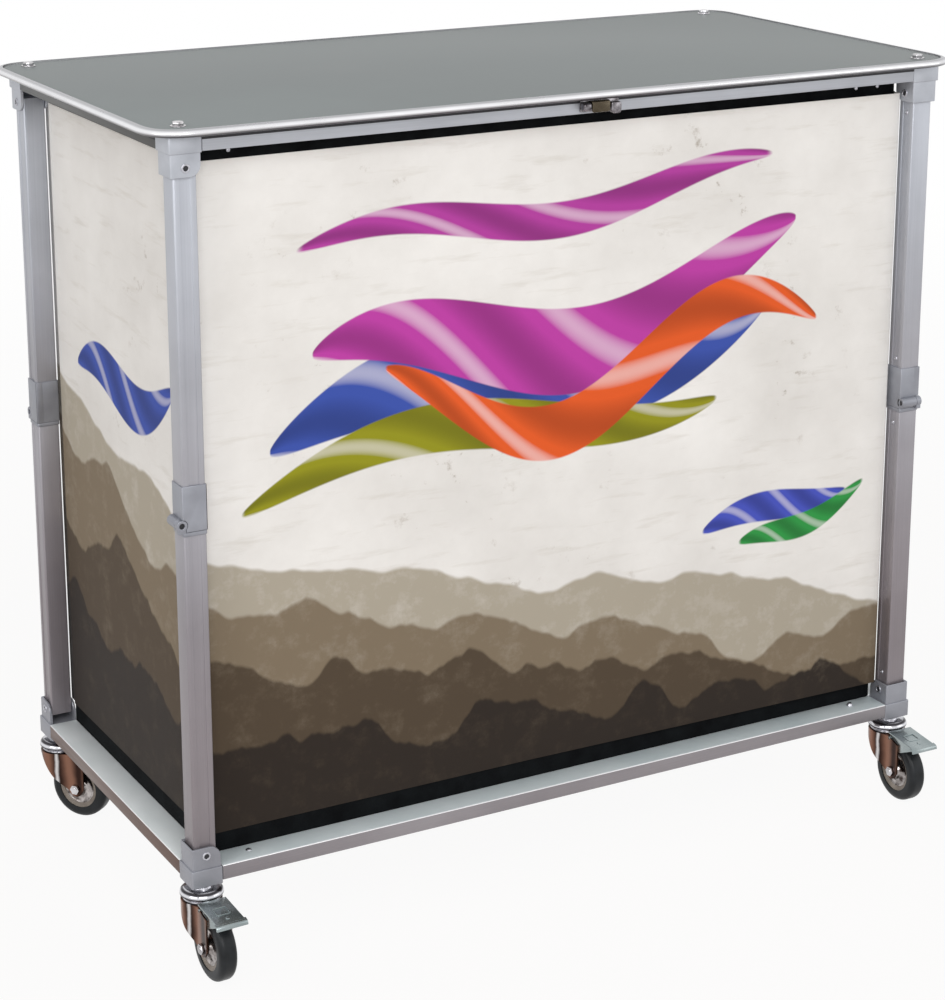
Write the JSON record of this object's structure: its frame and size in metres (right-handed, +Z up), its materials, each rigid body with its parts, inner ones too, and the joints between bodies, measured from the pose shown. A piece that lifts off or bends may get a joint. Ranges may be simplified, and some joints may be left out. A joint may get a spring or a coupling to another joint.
{
  "type": "folding portable bar",
  "caption": "Portable bar counter on swivel casters: a rimmed laminate top on a folding frame of square legs with knee joints, wrapped in fabric on the front and sides.",
  "frame": {"origin": "on the floor below the middle of the frame", "axes": "+X along the counter, +Y from the wrapped front to the open back, +Z up"},
  "size_m": [1.18, 0.6496, 1.0826],
  "materials": {
    "frame_aluminium": "satin extrusion",
    "casting": "dull cast",
    "bright_rim": "bright half-round",
    "plating": "bright plating",
    "laminate": "satin grey laminate",
    "hook_tape": "black hook tape",
    "wrap_fabric": "stretched printed cloth",
    "tyre": "grey rubber"
  },
  "bodies": {
    "base": {"base_corner_front_left": "casting", "base_corner_front_right": "casting", "base_corner_rear_left": "casting", "base_corner_rear_right": "casting", "base_rail_front": "frame_aluminium", "base_rail_rear": "frame_aluminium", "base_rail_left": "frame_aluminium", "base_rail_right": "frame_aluminium", "base_hook_strip": "hook_tape", "fabric_wrap": "wrap_fabric"},
    "lower_front_left": {"lower_leg_front_left": "frame_aluminium", "lower_knee_front_left": "casting"},
    "lower_front_right": {"lower_leg_front_right": "frame_aluminium", "lower_knee_front_right": "casting"},
    "lower_rear_left": {"lower_leg_rear_left": "frame_aluminium", "lower_knee_rear_left": "casting"},
    "lower_rear_right": {"lower_leg_rear_right": "frame_aluminium", "lower_knee_rear_right": "casting"},
    "upper_front_left": {"upper_leg_front_left": "frame_aluminium", "upper_knee_front_left": "casting"},
    "upper_front_right": {"upper_leg_front_right": "frame_aluminium", "upper_knee_front_right": "casting"},
    "upper_rear_left": {"upper_leg_rear_left": "frame_aluminium", "upper_knee_rear_left": "casting"},
    "upper_rear_right": {"upper_leg_rear_right": "frame_aluminium", "upper_knee_rear_right": "casting"},
    "counter": {"counter_panel": "laminate", "counter_rim": "bright_rim", "top_corner_front_left": "casting", "top_corner_front_right": "casting", "top_corner_rear_left": "casting", "top_corner_rear_right": "casting", "top_rail_front": "frame_aluminium", "top_rail_rear": "frame_aluminium", "top_rail_left": "frame_aluminium", "top_rail_right": "frame_aluminium", "top_hook_strip": "hook_tape", "counter_bolt_front_left": "plating", "counter_bolt_front_right": "plating", "counter_bolt_rear_left": "plating", "counter_bolt_rear_right": "plating", "latch_base": "plating"},
    "latch": {"latch_lever": "plating"},
    "fork_front_left": {"caster_fork_front_left": "plating", "caster_axle_front_left": "plating"},
    "fork_front_right": {"caster_fork_front_right": "plating", "caster_axle_front_right": "plating"},
    "fork_rear_left": {"caster_fork_rear_left": "plating", "caster_axle_rear_left": "plating"},
    "fork_rear_right": {"caster_fork_rear_right": "plating", "caster_axle_rear_right": "plating"},
    "wheel_front_left": {"caster_wheel_front_left": "tyre"},
    "wheel_front_right": {"caster_wheel_front_right": "tyre"},
    "wheel_rear_left": {"caster_wheel_rear_left": "tyre"},
    "wheel_rear_right": {"caster_wheel_rear_right": "tyre"},
    "pedal_front_left": {"brake_pedal_front_left": "plating"},
    "pedal_front_right": {"brake_pedal_front_right": "plating"}
  },
  "joints": [
    {"name": "counter_fold", "type": "hinge", "parent": "upper_front_left", "child": "counter", "pos_m": [-0.54, -0.259, 1.0305], "axis": [0, 1, 0], "range_deg": [0, 90], "deforming": ["fabric_wrap"]},
    {"name": "lower_fold_front_left", "type": "hinge", "parent": "base", "child": "lower_front_left", "pos_m": [-0.54, -0.259, 0.1592], "axis": [0, 1, 0], "range_deg": [0, 90]},
    {"name": "lower_fold_front_right", "type": "hinge", "parent": "base", "child": "lower_front_right", "pos_m": [0.54, -0.259, 0.1592], "axis": [-1, 0, 0], "range_deg": [0, 90]},
    {"name": "lower_fold_rear_right", "type": "hinge", "parent": "base", "child": "lower_rear_right", "pos_m": [0.54, 0.259, 0.1592], "axis": [0, -1, 0], "range_deg": [0, 90]},
    {"name": "lower_fold_rear_left", "type": "hinge", "parent": "base", "child": "lower_rear_left", "pos_m": [-0.54, 0.259, 0.1592], "axis": [1, 0, 0], "range_deg": [0, 90]},
    {"name": "knee_fold_front_left", "type": "hinge", "parent": "lower_front_left", "child": "upper_front_left", "pos_m": [-0.557, -0.259, 0.59485], "axis": [0, -1, 0], "range_deg": [0, 180]},
    {"name": "knee_fold_front_right", "type": "hinge", "parent": "lower_front_right", "child": "upper_front_right", "pos_m": [0.54, -0.276, 0.59485], "axis": [1, 0, 0], "range_deg": [0, 180]},
    {"name": "knee_fold_rear_right", "type": "hinge", "parent": "lower_rear_right", "child": "upper_rear_right", "pos_m": [0.557, 0.259, 0.59485], "axis": [0, 1, 0], "range_deg": [0, 180]},
    {"name": "knee_fold_rear_left", "type": "hinge", "parent": "lower_rear_left", "child": "upper_rear_left", "pos_m": [-0.54, 0.276, 0.59485], "axis": [-1, 0, 0], "range_deg": [0, 180]},
    {"name": "latch_swing", "type": "hinge", "parent": "counter", "child": "latch", "pos_m": [0.022, -0.2868, 1.06305], "axis": [-1, 0, 0], "range_deg": [0, 80]},
    {"name": "swivel_front_left", "type": "hinge", "parent": "base", "child": "fork_front_left", "pos_m": [-0.54, -0.259, 0.11], "axis": [0, 0, 1], "continuous": true},
    {"name": "swivel_front_right", "type": "hinge", "parent": "base", "child": "fork_front_right", "pos_m": [0.54, -0.259, 0.11], "axis": [0, 0, 1], "continuous": true},
    {"name": "swivel_rear_right", "type": "hinge", "parent": "base", "child": "fork_rear_right", "pos_m": [0.54, 0.259, 0.11], "axis": [0, 0, 1], "continuous": true},
    {"name": "swivel_rear_left", "type": "hinge", "parent": "base", "child": "fork_rear_left", "pos_m": [-0.54, 0.259, 0.11], "axis": [0, 0, 1], "continuous": true},
    {"name": "roll_front_left", "type": "hinge", "parent": "fork_front_left", "child": "wheel_front_left", "pos_m": [-0.53874, -0.29498, 0.0445], "axis": [0.9994, 0.0349, 0], "continuous": true},
    {"name": "roll_front_right", "type": "hinge", "parent": "fork_front_right", "child": "wheel_front_right", "pos_m": [0.53937, -0.29499, 0.0445], "axis": [0.9998, -0.0175, 0], "continuous": true},
    {"name": "roll_rear_right", "type": "hinge", "parent": "fork_rear_right", "child": "wheel_rear_right", "pos_m": [0.53068, 0.22423, 0.0445], "axis": [0.9659, -0.2588, 0], "continuous": true},
    {"name": "roll_rear_left", "type": "hinge", "parent": "fork_rear_left", "child": "wheel_rear_left", "pos_m": [-0.51884, 0.22988, 0.0445], "axis": [0.809, 0.5878, 0], "continuous": true},
    {"name": "pedal_press_front_left", "type": "hinge", "parent": "fork_front_left", "child": "pedal_front_left", "pos_m": [-0.53899, -0.28798, 0.093], "axis": [0.9994, 0.0349, 0], "range_deg": [0, 12]},
    {"name": "pedal_press_front_right", "type": "hinge", "parent": "fork_front_right", "child": "pedal_front_right", "pos_m": [0.53949, -0.288, 0.093], "axis": [0.9998, -0.0175, 0], "range_deg": [0, 12]}
  ],
  "couplings": [
    {"joint": "lower_fold_front_left", "follows": "counter_fold", "ratio": 1},
    {"joint": "lower_fold_front_right", "follows": "counter_fold", "ratio": 1},
    {"joint": "lower_fold_rear_right", "follows": "counter_fold", "ratio": 1},
    {"joint": "lower_fold_rear_left", "follows": "counter_fold", "ratio": 1},
    {"joint": "knee_fold_front_left", "follows": "counter_fold", "ratio": 2},
    {"joint": "knee_fold_front_right", "follows": "counter_fold", "ratio": 2},
    {"joint": "knee_fold_rear_right", "follows": "counter_fold", "ratio": 2},
    {"joint": "knee_fold_rear_left", "follows": "counter_fold", "ratio": 2}
  ]
}
